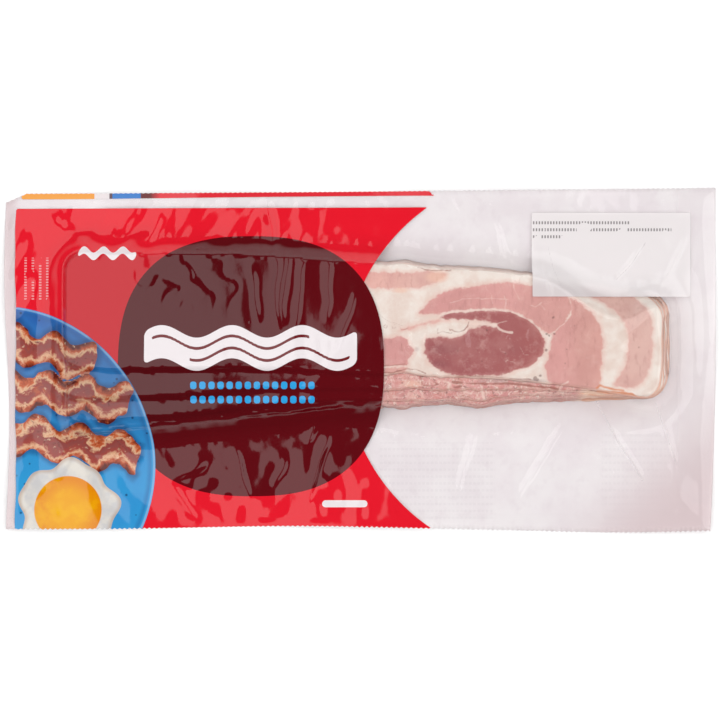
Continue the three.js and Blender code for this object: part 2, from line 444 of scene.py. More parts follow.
# The muscles of a rasher, as the top slice shows them: each has its redness at its left and at
# its right, and its outline.
MUSCLES = {
    "crescent": (0.5, 0.38, [
        (23.7, 19.3), (27.9, 23.3), (32.5, 26.4), (39.4, 28.6), (47.8, 29.9), (57.4, 30.9),
        (63.1, 30.5), (76, 28.2), (83.7, 24.6), (83.5, 18.3), (80.2, 13.7), (76.6, 10.6),
        (72.2, 12.1), (68, 15.6), (63.1, 18.6), (57.4, 20.1), (50.1, 20.2), (38.6, 19.7),
        (30.2, 18.3), (24.8, 18.5)]),
    "outer lean": (0.45, 0.3, [
        (77, 10.5), (80.4, 13.7), (83.7, 18.1), (83.9, 24.5), (89.4, 21.3), (94, 17.2), (96, 12.2),
        (96.8, 6.5), (96.2, 0.7), (95.6, -10.4), (94.8, -11.7), (87.1, -12.4), (79.5, -11.8),
        (76, -9.3), (73.5, -4.2), (74.9, 0.7), (76.1, 7.6)]),
    "eye": (1.0, 0.86, [
        (31.7, 16.9), (34.8, 18.2), (40.5, 19.2), (52, 19.8), (60.4, 18.9), (66.2, 16.1), (71.1, 12.1),
        (73.7, 7.2), (73, 3.4), (69.9, -0.4), (65.4, -3.1), (57.8, -5.6), (48.2, -6.3), (38.2, -6.2),
        (32.5, -4.6), (28.7, -2.3), (26.6, 0.7), (25.4, 5.3), (26.8, 8.4), (31.7, 9.1), (37.5, 8.8),
        (41.2, 10.1), (44.4, 12.5), (49.3, 13.6), (53.7, 13), (53.5, 14.9), (46.3, 15.7), (40.5, 16.3),
        (34.8, 16.3)]),
    "inner lean": (0.5, 0.5, [
        (-11.9, 9.5), (9.5, 8.8), (15.7, 9.5), (19.5, 6.9), (21.4, 3.8), (19.3, 0.3), (18.3, -2),
        (11.8, -2.3), (-11.9, -2.5)]),
    "inner foot": (0.4, 0.3, [
        (-11.9, -3.2), (12, -3.2), (18, -2.7), (19, -3.6), (14, -5.2), (-11.9, -5.4)]),
    "sliver": (0.14, 0.14, [
        (15.6, 11.6), (23.3, 14.5), (31.7, 15.9), (35.9, 15.7), (27.1, 14.6), (21, 12.3)]),
    "flank": (0.22, 0.1, [
        (-11.9, 35.2), (8, 34.9), (19.5, 34.7), (26.4, 35.3), (34.4, 34.4), (32.5, 32.3),
        (27.1, 29.9), (20.6, 28.7), (11.8, 28.7), (-11.9, 30.2)]),
    "outer band": (0.12, 0.08, [
        (89.4, 26.4), (94.8, 24.3), (100.5, 20.2), (104.9, 16), (107, 9.1), (106.3, 1.5),
        (104.4, -4.6), (101.9, -8.5), (101.7, -10.4), (108.2, -10.9), (112.4, -8.8), (115.1, -3.1),
        (116.4, 7.6), (116.1, 15.3), (113.5, 21), (107, 26.8), (98.6, 29.4), (90.6, 29)]),
}
# Pale gristle between and inside the muscles, and in the edges below: half its width, its line.
GRISTLE = [
    (0.25, [(32.9, 18.5), (35.6, 18.8), (38.6, 19.4), (42.4, 19.8), (53.9, 20.1),
            (57.4, 19.8), (60, 19.2), (62.7, 18.3), (65.4, 16.9), (68, 15.3), (70.3, 13),
            (72.2, 11.4), (73.7, 10.6)]),
    (0.15, [(77, 10.7), (80.6, 14), (82.5, 16), (84.5, 19.9), (83.7, 24.6)]),
    (0.4, [(43.6, 14.5), (52.8, 14)]),
    (0.35, [(53.5, 14.1), (55.5, 12.6), (57.4, 11.5), (60.4, 10.8)]),
    (0.1, [(53.5, 14.3), (56.2, 15), (58.5, 15.4)]),
    (0.1, [(35.6, 22.7), (39.8, 23.6), (40.9, 24.5), (51.2, 24.5), (59.3, 24.2)]),
    (0.05, [(50.1, 29.6), (50.9, 27.9), (52.6, 26), (52.4, 24.1), (52.8, 22.5)]),
    (0.15, [(57.4, 25.6), (58.1, 23.7), (58.1, 21.8), (57.8, 19.9)]),
    (0.15, [(61, 30.8), (61.6, 28.3), (63.5, 24.3)]),
    (0.1, [(68, 21.8), (69.9, 21.2), (71.8, 22.2), (72.6, 22.9), (71.8, 22.2), (73.7, 20.2)]),
    (0.05, [(17.6, 5.7), (18.3, 3.4), (19.9, 1.7)]),
    (0.2, [(4.2, -2.9), (9.5, -2.8), (13.7, -2.6), (16.8, -2.1), (19.1, -2.8)]),
    (0.0, [(31.3, 2.1), (34.8, 2)]),
    (0.0, [(33.6, 1.3), (34.4, 0.3), (35.9, 0)]),
    (0.0, [(39.8, -0.4), (43.2, -0.8)]),
    (0.05, [(55.5, 4.6), (55.8, 3.4), (57.8, 3.2)]),
    (0.05, [(58.1, 8.2), (58.9, 9.7)]),
    (0.08, [(57.8, -1), (58.9, 0.3), (59.5, -0.4), (61.6, -1.2)]),
    (0.05, [(63.5, 5.3), (65, 2.3), (66.9, 1.9)]),
    (0.15, [(13.4, -11.9), (13.7, -13), (13.4, -14.6), (16, -15), (19.1, -14.4), (19.5, -12.5),
            (18, -11.7)]),
    (0.35, [(28.3, -5), (29.4, -6), (31, -6.5), (32.5, -6.2), (33.3, -5.4)]),
    (0.4, [(34.8, -8.8), (35.9, -9.6), (35, -11.1), (35.6, -11.9)]),
    (0.2, [(40.5, -11.9), (41.7, -12.7), (44.5, -13.4), (44.9, -12.3)]),
    (0.25, [(48.2, -10), (48.9, -11.9), (48.9, -14.6), (49.7, -15.7)]),
    (0.2, [(53.2, -11.9), (53.9, -13.1), (55.1, -12.3), (54.4, -10.8)]),
    (0.2, [(68, -14.6), (71.1, -13), (74.5, -12.7), (76.8, -13.2)]),
    (0.3, [(82.5, -8.5), (80.6, -10), (79.5, -11.5), (79.9, -13.4), (81.4, -14.6)]),
    (0.35, [(82.2, -12.7), (82.7, -15.3)]),
]
# Dark lines in the meat: curled membranes and dried edges, and painted shadow: lines under the
# slices' lower edges, in the gaps between slices, and a shadowed pocket at the top slice's lower edge.
MEMBRANES_AND_SHADOW_LINES = [
    (0.15, [(23.1, 37.1), (24.8, 36.7), (26.4, 36.1), (28.3, 35.6), (31.7, 35.7), (36.3, 35.6)]),
    (0.12, [(35.4, 12.2), (35.6, 11.6), (36.5, 12), (37.7, 11.4), (39.8, 11.4), (41.7, 12.1),
            (43, 13.4), (43.6, 15.3)]),
    (0.05, [(31, 12.6), (30.7, 11.6), (31, 10.5), (33.1, 11.4), (34.4, 10.9), (36.1, 10.4),
            (36.5, 10.9)]),
    (0.0, [(9.7, 13.6), (9.1, 13.4), (10.3, 12.6), (10.9, 13.6), (10.3, 14.1), (9.7, 13.6)]),
    (0.0, [(12.6, 13.7), (12.8, 12.6), (13.9, 12.6), (14.3, 13.6), (13.5, 13.9)]),
    (0.0, [(15.7, 13), (16.4, 11.8), (18, 12.2), (19.1, 12.8)]),
    (0.0, [(5.7, 19.9), (10.3, 16.2), (12.6, 15.1), (16.8, 13.7)]),
    (0.1, [(4.2, -2.4), (13.7, -2.2), (17.6, -1.5), (18.5, -2.1)]),
    (0.05, [(16.7, 6.5), (16.9, 3.4)]),
    (0.15, [(23.7, -6.6), (26, -6.4), (27.7, -7.3), (29.6, -8.8), (31.2, -9.8), (28.7, -10.3),
            (25.4, -10), (24.5, -8.5), (24.3, -7.1), (23.7, -6.6)]),
    (0.15, [(4.2, -5.2), (9.9, -5.1), (13.7, -4.9), (16.8, -3.9), (19.5, -3.5), (22.5, -3.9),
            (24.8, -4.7), (26, -5.4)]),
    (0.1, [(37.9, -6.5), (48.2, -6.5), (53.9, -6.7), (68, -7.8)]),
    (0.3, [(42.4, -9.3), (48.2, -9.5), (59.7, -9.3), (63.5, -9.7), (68, -10.4),
           (73.7, -10.7), (79.1, -11.5)]),
    (0.5, [(37.1, -8.8), (40.9, -9.3)]),
    (0.4, [(37.5, -10.8), (40.5, -10.4)]),
    (0.15, [(39.4, -14.2), (41.7, -14.3), (44, -14.6)]),
    (0.2, [(84.5, -11.9), (86.4, -12.3), (88.7, -11.9), (91, -12.3), (94.8, -12.5)]),
]
# Orange-brown lines where the dried rind of the lower slices shows.
RIND = [
    (0.35, [(94.8, -12.3), (97.1, -12.7), (108.2, -13.8), (110.1, -14.6), (113.9, -15.9)]),
    (0.1, [(94.4, -11.1), (95.6, -10), (97.1, -10.8), (104.7, -12.3)]),
    (0.1, [(89.4, -15.9), (94.8, -15.3), (100.5, -15.4), (106.3, -16), (113.9, -16.5)]),
    (0.0, [(91, -14), (97.1, -14.3), (106.3, -14.9)]),
]
# Cut ends of small vessels and dark clots: their radius and their place.
VESSELS = [
    (0.3, 74.5, 10.3), (0.25, 75.3, 9.6), (0.25, 77.6, 10.4), (0.4, 73.9, 4.1), (0.35, 71.6, -6.2),
    (0.6, 69.7, -7.3), (0.4, 70.6, -7.8), (0.3, 77.1, 17.1), (0.1, 82.5, 4.2), (0.1, 81.8, -1.2),
    (0.1, 110.8, 5.1), (0.05, 85.4, 13.6), (0.15, 38.9, 3.8), (0.1, 46.7, 4), (0.1, 48.6, -0.4),
    (0.3, 50.5, 11.8), (0.15, 57.8, 2.8), (0.2, 24.8, -6.7), (0.3, 34.4, -13.1), (0.3, 86.4, -12.1),
]


def meat_fields(x, y, index):
    """What the meat is made of at each point, and where shadow is painted on it: distances in
    millimetres, and shares. Each slice repeats the top one's muscles, carried down with its own lower
    edge and warped by noise. Where a lower slice shows under the fan, its lean is ragged and its fat
    runs in and out of it."""
    depth = SLICES - 1 - index
    level = y + slice_foot(x, SLICES - 1) - slice_foot(x, index) if depth else y
    drawn_x = x + 0.3 * noise(x, y, 2.1, 40)
    drawn_y = y + 0.25 * noise(x, y, 1.7, 60)
    wx = drawn_x + 1.3 * depth * noise(x, y, 19, 50 + index)
    wy = level + drawn_y - y + 0.9 * depth * noise(x, y, 15, 70 + index)
    lean = np.full(x.shape, -9.0)
    red = np.zeros(x.shape)
    for left_red, right_red, outline in MUSCLES.values():
        inside = distance_inside(wx, wy, outline)
        left, right = min(outline)[0], max(outline)[0]
        redness = left_red + (right_red - left_red) * smooth(left, right, wx)
        red = np.where(inside > lean, redness, red)
        lean = np.maximum(lean, inside)
    lines = {}
    for field, drawing in (("gristle", GRISTLE), ("membrane_and_shadow_line", MEMBRANES_AND_SHADOW_LINES), ("rind_line", RIND)):
        lines[field] = np.full(x.shape, 9.0)
        for half, line in drawing:
            beside = distance_to_line(drawn_x, drawn_y, line) - half * (1 + 0.7 * noise(x, y, 2.5, 5))
            lines[field] = np.minimum(lines[field], beside)
    vessel = np.full(x.shape, 9.0)
    for radius, across, up in VESSELS:
        vessel = np.minimum(vessel, np.hypot(drawn_x - across, drawn_y - up) - radius)
    streak = 2 * noise(0.3 * x, y, 5, 80 + index) + noise(0.4 * x, y, 2.5, 90 + index)
    unseen = 1 - smooth(UNSEEN - 12, UNSEEN, x)
    fringe = (1 - smooth(6, 12, level - slice_foot(x, SLICES - 1))) if depth else np.zeros(x.shape)
    inner = fringe * (1 - smooth(80, 92, x))
    lean = lean + (1.2 + 0.8 * noise(x, y, 2.6, 120) - lean) * inner - 9 * fringe * smooth(86, 96, x)
    lean = lean + (streak - lean) * unseen
    blotched = 0.47 + 0.2 * noise(x, y, 5, 140) + 0.1 * bell(x, 50, 9) * (y < -14)
    red = np.where(inner > 0.5, blotched, red)
    red = np.where(unseen > 0.5, 0.4, red)
    return {
        "lean": lean,
        "red": red,
        **lines,
        "vessel": vessel,
        "rim": -outside_slice(x, y, index),
        "rind": smooth(86, 112, x),
        "fringe": inner,
        "foot": fringe * smooth(84, 92, x) * (1 - smooth(-14, -8, y)),
        "dusk": bell(x, 34, 7) * bell(y, 4.4, 2.8) + bell(x, 31, 5) * bell(y, -1.6, 1.8)
        + 0.5 * bell(x, 60, 9) * bell(y, 4, 5),
        "peach": bell(x, 30.6, 4.6) * bell(y, 33.2, 2.4) + bell(x, 16.2, 3.2) * bell(y, 27.8, 1.2)
        + bell(x, 21, 4) * bell(y, -9.6, 1.6),
        # Painted shadow: a dull band under the top slice's lower edge below the eye, and a few smaller dull
        # patches.
        "shadow_grey": bell(y, -8.3, 1) * smooth(44, 50, x) * (1 - smooth(68, 80, x))
        + bell(x, 11.4, 1.7) * bell(y, -10.7, 1.3) + bell(x, 57.2, 2) * bell(y, -11.7, 1.1)
        + 0.7 * bell(x, 22.6, 1.4) * bell(y, 4.3, 1.4),
    }


def cured_pork():
    """Raw cured pork, sliced cold and moist: pearly fat, lean that reddens with the muscle, pale
    gristle and marbling, curled membranes, and a rim browned where the block was dried, with
    painted shadow in dull bands and dark lines under the slices' edges and between them."""
    material, tree, place = new_material("raw_cured_pork")
    lean = mesh_field(tree, "lean")
    for size, depth in ((3.2, 2.2), (1.1, 1.3)):
        ragged = maths(tree, "ADD", cloud(tree, place, 1 / (size * MM), 3), -0.5)
        lean = maths(tree, "MULTIPLY_ADD", ragged, depth, lean)
    drawn = add(tree, "Mapping", {"Vector": place, "Scale": (1, 0.4, 1)})
    fat = coated(tree, colour("#e5d0c4"), [
        (patches(tree, place, 10, 0.35, 0.62, 0.85), "#f1e7de"),
        (patches(tree, place, 3, 0.5, 0.75, 0.35), "#f4ece5"),
        (patches(tree, drawn, 4, 0.55, 0.75, 0.25, 4, 1), "#e6cabd"),
        (ramp(tree, lean, -1.8, 0, 0.6), "#e6bdb0"),
    ])
    flesh = graded(tree, mesh_field(tree, "red"), [
        (0.08, "#dfb6ab"), (0.2, "#e9b1a5"), (0.34, "#d59c92"), (0.42, "#dc9f99"),
        (0.55, "#cf8c88"), (0.86, "#a5514f"), (1, "#9f494a")])
    grain = add(tree, "Mapping", {"Vector": place, "Rotation": (0, 0, 0.5), "Scale": (1, 0.3, 1)})
    flesh = coated(tree, flesh, [
        (("dusk", 0.15, 0.9, 0.6), "#8f3f43"),
        (patches(tree, place, 11, 0.42, 0.68, 0.3), "#c3857f"),
        (patches(tree, place, 4.5, 0.5, 0.72, 0.3), "#e4b8ae"),
        (patches(tree, grain, 1.4, 0.5, 0.75, 0.3, 3), "#a96865"),
        (patches(tree, place, 1.3, 0.66, 0.76, 0.3, 3), "#edd0c6"),
        (ramp(tree, lean, 1.5, 0.1, 0.25), "#e0a79f"),
    ])
    loops = maths(tree, "ADD", cloud(tree, place, 330, 1, 0.5, 1.2), -0.5)
    thread = ramp(tree, maths(tree, "ABSOLUTE", loops), 0.045, 0.01, 1, "SMOOTHSTEP")
    shreds = [(patches(tree, place, 6, 0.5, 0.62, 0.6, 5, 2.5), "#e3bcae"),
              (patches(tree, place, 2.8, 0.54, 0.64, 0.75, 5, 3), "#f1ddd1"),
              (patches(tree, place, 4.5, 0.52, 0.64, 0.6, 4, 1), "#cf7c76"),
              (all_of(tree, thread, patches(tree, place, 6, 0.42, 0.6, 0.4)), "#efdccf"),
              (patches(tree, place, 1.7, 0.59, 0.68, 0.6, 2), "#8d5750")]
    fringe = field_share(tree, "fringe", 0.2, 0.8)
    dried = all_of(tree, field_share(tree, "rim", 0.4, 0), field_share(tree, "rind", 0, 1))
    meat = coated(tree, fat, [
        (ramp(tree, lean, -0.4, 0.5, 1, "SMOOTHSTEP"), flesh),
        (("peach", 0.1, 0.8, 0.55), "#eebfa6"),
        # Painted shadow under the top slice's lower edge.
        (("shadow_grey", 0.2, 0.9, 0.6), "#bda09b"),
        *((all_of(tree, fringe, share), text) for share, text in shreds),
        (("foot", 0.1, 0.9, 0.75), "#f7caa9"),
        (("gristle", 0.25, -0.3, 0.8), "#edd2c6"),
        # Dark lines: membranes and dried edges, and painted shadow under the slices' edges and between
        # them.
        (("membrane_and_shadow_line", 0.3, -0.2, 0.8), "#9a5848"),
        (("rind_line", 0.6, -0.1, 0.85), "#d9804e"),
        (("vessel", 0.4, 0, 0.6), "#6f463e"),
        (all_of(tree, dried, patches(tree, place, 6, 0.25, 0.5, 0.75)), "#f5b190"),
        (("rim", 0.5, 0, 0.3), "#efbca8"),
    ])
    fine = cloud(tree, place, 520, 5, 0.65)
    bump = add(tree, "Bump", {"Height": fine, "Strength": 0.3, "Distance": 0.0003})
    pork = add(tree, "BsdfPrincipled",
               {"Base Color": meat, "Roughness": 0.48, "IOR": 1.4, "Normal": bump})
    add(tree, "OutputMaterial", {"Surface": pork})
    return material


pork = cured_pork()
map_x, map_y = np.meshgrid(np.arange(-150, 150, MAP_STEP), np.arange(-80, 80, MAP_STEP))
pile = np.full(map_x.shape, BED)
window_share = (SLICE_ENDS[0] - UNSEEN) / SLICE_LENGTH
for index in range(SLICES):
    bed_map = np.maximum(pile, sagged(pile, DRAPE))
    outside = outside_slice(map_x, map_y, index)
    on_slice = bed_map + SLICE_THICKNESS * slice_body(map_x, map_y, index)
    pile = np.where(outside < SLICE_RIM, np.maximum(pile, on_slice), pile)
    on_top = index == SLICES - 1
    seen, hidden, across = (320, 70, 110) if on_top else (220, 60, 62)
    covered = np.linspace(window_share, 1, hidden)[1:]
    columns = np.concatenate([np.linspace(0, window_share, seen), covered])
    share = np.linspace(0, 1, across + 1)
    x, y = slice_grid(columns, share if on_top else share * (0.35 + 0.65 * share), index)
    bed = read_map(bed_map, x, y)
    relief = 0.08 * noise(x, y, 6, 20 + index) + 0.05 * noise(x, y, 2.4, 30 + index) - 0.1
    body = slice_body(x, y, index)
    body[[0, -1]] = 0
    body[:, [0, -1]] = 0
    upper = np.stack([x, y, bed + (SLICE_THICKNESS + relief) * body], -1).reshape(-1, 3)
    lower = np.stack([x, y, bed], -1).reshape(-1, 3)
    under = len(upper) + np.arange(len(lower))
    under[rim_of(*x.shape)] = rim_of(*x.shape)
    quads = grid_quads(*x.shape)
    fields = meat_fields(x, y, index)
    new_piece(f"slice_{index + 1}", np.vstack([upper, lower]), np.vstack([quads[:, ::-1], under[quads]]),
              pork, {name: np.concatenate([values.ravel()] * 2) for name, values in fields.items()})

# Top web
# The upper film, clear polyamide and polyethylene about 0.1 mm thick, reverse printed in gloss
# inks. The vacuum draws it down over the stack, and it pleats where it has length to spare.
TOP_ROWS = 160
MARGIN = -138
WINDOW = (72, -2.6, 78)
BLOB = (-43.4, -2.5, 53, 52.1)
PLATE = (-146, -42.2, 64)
EGG = (-117, -60, 19.5)
YOLK_RADIUS = 13.5
BAND_FOOT = 60.6
STRIP = (-135.6, 30.1, 64.4)
RIBBON = (-86, -1.2, -6.6, 6.6)
MARK = (-112.4, -89.2, -1.5, 1.5)
MARK_HEIGHT = 42.6
WEIGHT_BAR = (-15.2, 3, -59, -56.2)
SEAL_START = 127.4
LABEL = (68.8, 132.4, 25.3, 59)
LABEL_COVER = 0.84
CLEAR_COVER = 0.05
HEAD_ON_SHEEN = 0.045
RASHERS = [((-144, 8), (-106, -1), 6.5), ((-144, -11), (-92, -17), 7), ((-144, -29), (-89, -38), 7)]
# Folds drawn: X and Y of their start and end, width on their left and right, height.
FOLDS = [
    (120, -17, 127.4, -43, 0.4, 0.9, 0.5), (94, -16, 113.6, -49, 0.35, 0.8, 0.6),
    (87, -17, 62, -58, 1.4, 0.5, 0.7), (62, 30, 53.6, 58, 1.0, 0.6, 0.5),
    (120, 28, 132, 52, 0.8, 1.2, 0.4), (48, -20, 39, -57, 1.6, 0.7, 0.35),
    (103, 32, 114, 47, 0.5, 0.9, 0.3), (72, 40, 77, 24, 0.6, 0.8, 0.3),
    (-13, -31, -22, -59, 2.0, 0.9, 1.2), (-37, 63, -34, 44, 1.8, 1.8, 1.1),
    (-34, 46, -33, 9, 1.1, 1.6, 0.7), (-29, 42, -31, 12, 0.9, 1.2, 0.5),
    (-12, 40, -13, 14, 1.6, 1.0, 0.7), (-2, 26, -12, -2, 1.0, 0.7, 0.4),
    (-44, 38, -40, 12, 0.8, 1.6, 0.5), (-22, 40, -26, 10, 1.4, 0.9, 0.45),
    (-86, 46, -80, 62, 2.5, 3.0, 0.8), (-104, 42, -132, 61, 3, 4.5, 0.9),
    (-112, -22, -128, -52, 3, 3, 1.0), (-76, -50, -64, -66, 2.2, 1.2, 0.7),
    (-50, -36, -44, -56, 2.6, 0.8, 0.9), (-30, -40, -36, -52, 1.2, 1.2, 0.4),
    (-24, -16, -10, 1, 7, 1.5, 0.5), (-38, -26, -30, -8, 9, 4, 0.5),
    (-17, -26, -22, -34, 2.2, 1.2, 0.5), (-60, -40, -84, -52, 3, 2, 0.8),
]
# Colours of the next print along the top cut, each at its place along X.
NEXT_PRINT = [
    (-106.5, "#ec9c3c"), (-106.3, "#e3dadb"), (-100.5, "#e3dadb"), (-100.3, "#5c4650"), (-99.3, "#5c4650"),
    (-99.1, "#3579c4"), (-87.9, "#3579c4"), (-87.7, "#641a1c"), (-84, "#641a1c"), (-80, "#dc2f3a"),
]
# Painted shade along sharp creases, where the film is folded on itself: half their width and their line.
CREASE_SHADE_LINES = [
    (0.05, [(94.5, -16.5), (103, -32), (113.4, -48.5)]), (0.0, [(118, -17), (122, -27), (127, -42.5)]),
    (-0.1, [(102.6, 32), (108.4, 38), (114.4, 47)]), (-0.15, [(75.6, 45), (77.6, 36), (80.4, 29)]),
]


def streaks(x, y, lean, across, along, seed):
    """Noise drawn out along a line that leans to the right of Y by an angle, from its size across
    that line and its size along it."""
    beside = x * np.cos(lean) - y * np.sin(lean)
    onward = x * np.sin(lean) + y * np.cos(lean)
    return noise(beside, onward * across / along, across, seed)


def bridged(height, radius):
    """A height map with its hollows filled: each pass along an axis lifts every point to its
    neighbours' height, less the square of their distance over twice the radius, and two more
    passes undo that where nothing was hollow."""
    for sign in (1, -1):
        for axis in (0, 1):
            best = flat = sign * height
            for step in range(1, 40):
                drop = (step * MAP_STEP) ** 2 / (2 * radius)
                nearby = np.maximum(np.roll(flat, step, axis), np.roll(flat, -step, axis))
                best = np.maximum(best, nearby - drop)
            height = sign * best
    return height


def pleat(x, y, ax, ay, bx, by, left, right):
    """Ridge of height 1 along a segment, with its own width on each side: a bell of the distance
    across it, faded in and out by smoothsteps of the distance along it."""
    length = np.hypot(bx - ax, by - ay)
    ux, uy = (bx - ax) / length, (by - ay) / length
    along = ((x - ax) * ux + (y - ay) * uy) / length
    across = (y - ay) * ux - (x - ax) * uy
    fade = smooth(-0.08, 0.25, along) * (1 - smooth(0.6, 1, along))
    return fade * bell(across, 0, np.where(across < 0, left, right))


def film_drape(x, y):
    """Height of film drawn over the pile: it bridges the steps of the fan by a radius of 1, and
    the foot of the stack by 9, or by 20 under the window."""
    nearest = np.full(x.shape, 1e9)
    for index in range(SLICES):
        nearest = np.minimum(nearest, outside_slice(x, y, index))
    close, free, wide = bridged(pile, 1), bridged(pile, 9), bridged(pile, 20)
    below = (1 - smooth(-24, -8, y)) * smooth(0, 30, x) * (1 - smooth(96, 124, x))
    loose = free + (wide - free) * below
    taut = close + (loose - close) * smooth(-2, 0.5, nearest)
    return np.maximum(sagged(taut, 0.6), pile) - BED, nearest


def film_pleats(x, y, nearest):
    """Height of the folds, and of noise drawn out into streaks: leaning right above the stack at
    the left, upright down over its upper edge in the middle, leaning left below it, and level
    where the film lies on the fan."""
    wx = x + 0.9 * noise(x, y, 7, 12)
    height = np.zeros(x.shape)
    for *fold, rise in FOLDS:
        height += rise * pleat(wx, y, *fold)
    off_stack = smooth(1, 6, nearest)
    left = 1 - smooth(-34, 0, x)
    above = 0.5 * streaks(wx, y, 0.65, 6, 24, 3) + 0.08 * streaks(wx, y, 0.4, 2.6, 14, 4)
    height += above * off_stack * smooth(-6, 8, y) * left
    middle = 0.12 * streaks(wx, y, -0.06, 5, 34, 5)
    height += middle * bell(x, -32, 17) * smooth(0, 14, y)
    below = 0.34 * streaks(wx, y, -0.4, 7, 22, 7) + 0.3 * noise(x, y, 5.5, 22) * smooth(-96, -60, x)
    height += below * off_stack * (1 - smooth(-42, -32, y)) * (1 - smooth(0, 24, x))
    fan = 0.2 * streaks(x, y, 1.6, 2.4, 34, 9) + 0.06 * streaks(x, y, 1.5, 1.2, 14, 10)
    height += fan * (1 - smooth(-3, 1, nearest)) * (1 - smooth(-4, 2, y)) * (1 - smooth(-6, 10, x))
    bubbles = bell(noise(x, y, 6.5, 16), 0, 0.16) * bell(y, 33, 7) * bell(x, -66, 18)
    return height - 0.3 * bubbles


def film_crumple(x, y, nearest):
    """Height of creases left by handling: 1 less the size of noise makes sharp ridges. They are
    slight on the seal and slighter where the film lies on meat."""
    on_stack = 1 - smooth(-5, -1, nearest)
    depth = (0.13 - 0.08 * on_stack) * (0.65 + 0.5 * noise(x, y, 30, 15))
    ridges = (1 - np.abs(noise(x, y, 11, 3))) + 0.5 * (1 - np.abs(noise(x, y, 5.2, 4)))
    slow = 0.12 * (1 + noise(x, y, 26, 13)) + 0.05 * (1 + noise(x, y, 12, 14)) * (1 - 0.4 * on_stack)
    return (depth * ridges + slow) * smooth(0, 5, from_edge(x, y))


def rounded_box(x, y, left, right, low, high, radius):
    """Distance inside a rectangle with round corners, negative outside."""
    dx = np.abs(x - (left + right) / 2) - (right - left) / 2 + radius
    dy = np.abs(y - (low + high) / 2) - (high - low) / 2 + radius
    return radius - np.hypot(np.maximum(dx, 0), np.maximum(dy, 0)) - np.minimum(np.maximum(dx, dy), 0)


def print_fields(x, y, nearest):
    """Distances inside the printed shapes, in millimetres: the red field outside the window's
    circle, the dark blob (a superellipse of power 2.5), the plate with its wavy rashers and egg,
    the strip of the next print along the top, the white marks and the label. Then the painted
    shade lines of the creases, the seal past the right end, and painted shade where the meat
    lies behind the ink at the left and behind the label."""
    margin = x - MARGIN - 0.25 * np.sin(y / 9) - 0.15 * np.sin(y / 3.1)
    window = np.hypot(x - WINDOW[0], y - WINDOW[1]) - WINDOW[2]
    band = BAND_FOOT + (x - MARGIN) / 310 * 1.1 - y
    blob = 1 - (np.abs((x - BLOB[0]) / BLOB[2]) ** 2.5 + np.abs((y - BLOB[1]) / BLOB[3]) ** 2.5) ** 0.4
    round_plate = PLATE[2] - np.hypot(x - PLATE[0], y - PLATE[1])
    strip_foot = y - STRIP[2] - 1.4 * smooth(-136, 27, x)
    strip = np.minimum(np.minimum(strip_foot, x - STRIP[0]), STRIP[1] - 1.4 * strip_foot - x)
    rasher = np.full(x.shape, -99.0)
    across = np.zeros(x.shape)
    for number, ((ax, ay), (bx, by), half) in enumerate(RASHERS):
        length = np.hypot(bx - ax, by - ay)
        s = ((x - ax) * (bx - ax) + (y - ay) * (by - ay)) / length
        n = ((y - ay) * (bx - ax) - (x - ax) * (by - ay)) / length - 2.2 * np.sin(s / 2.7 + 1.3 * number)
        frayed = 0.6 * noise(x, y, 2.2, 17) + noise(x, y, 6, 18)
        inside = rounded_box(s, n, 0, length, -half, half, 3) + frayed
        across = np.where(inside > rasher, n / half + 0.25 * noise(x, y, 5, 19), across)
        rasher = np.maximum(rasher, inside)
    angle = np.arctan2(y - EGG[1], x - EGG[0])
    from_yolk = np.hypot(x - EGG[0], y - EGG[1])
    egg = EGG[2] + 1.3 * np.sin(5 * angle + 1) + 0.8 * np.sin(9 * angle) - from_yolk
    wave = 4.8 + 2.5 * np.sin((x - RIBBON[0]) / 28 * 2 * np.pi)
    ribbon = rounded_box(x, y - wave, *RIBBON, 2)
    ripple = MARK_HEIGHT + 1.3 * np.sin((x + 112) / 7.7 * 2 * np.pi)
    mark = rounded_box(x, y - ripple, *MARK, 1.4)
    weight = rounded_box(x, y, *WEIGHT_BAR, 1.4)
    lines = np.maximum(rounded_box(x, y - wave, -83, -20, 1.7, 2.9, 0.5),
                       rounded_box(x, y - wave, -68, -4, -3.1, -1.9, 0.5))
    # Painted shade along the sharp creases.
    crease_shade = np.full(x.shape, 9.0)
    for half, line in CREASE_SHADE_LINES:
        crease_shade = np.minimum(crease_shade, distance_to_line(x + 0.2 * noise(x, y, 4, 21), y, line) - half)
    return {
        "red_field": np.minimum(np.minimum(margin, window), np.minimum(band, WINDOW[0] - x)),
        "blob": blob * BLOB[3],
        "plate": np.minimum(round_plate, margin),
        "lip": round_plate,
        "rasher": np.minimum(rasher, margin),
        "across": across,
        "egg": np.minimum(egg, margin),
        "yolk": np.minimum(YOLK_RADIUS - from_yolk, margin),
        "strip": strip,
        "white": np.maximum(np.maximum(ribbon, mark), weight),
        "lines": lines,
        "label": rounded_box(x, y, *LABEL, 0.3),
        "crease_shade": crease_shade,
        "seal": (x - SEAL_START - 0.3 * np.sin(y / 5) + 0.3) * smooth(-62, -30, y) - 0.3,
        # Painted shade: share where the inks are darkened over the meat at the left.
        "meat_behind_shade": (1 - smooth(-3, 0.4, nearest)) * (1 - smooth(-70, 0, x)),
        # Painted shade: where the label lies over the stack, darker for the meat behind it and the shade on
        # the stack's slopes.
        "under": (1 - smooth(-6, 1, nearest)) * smooth(60, 68, x),
    }


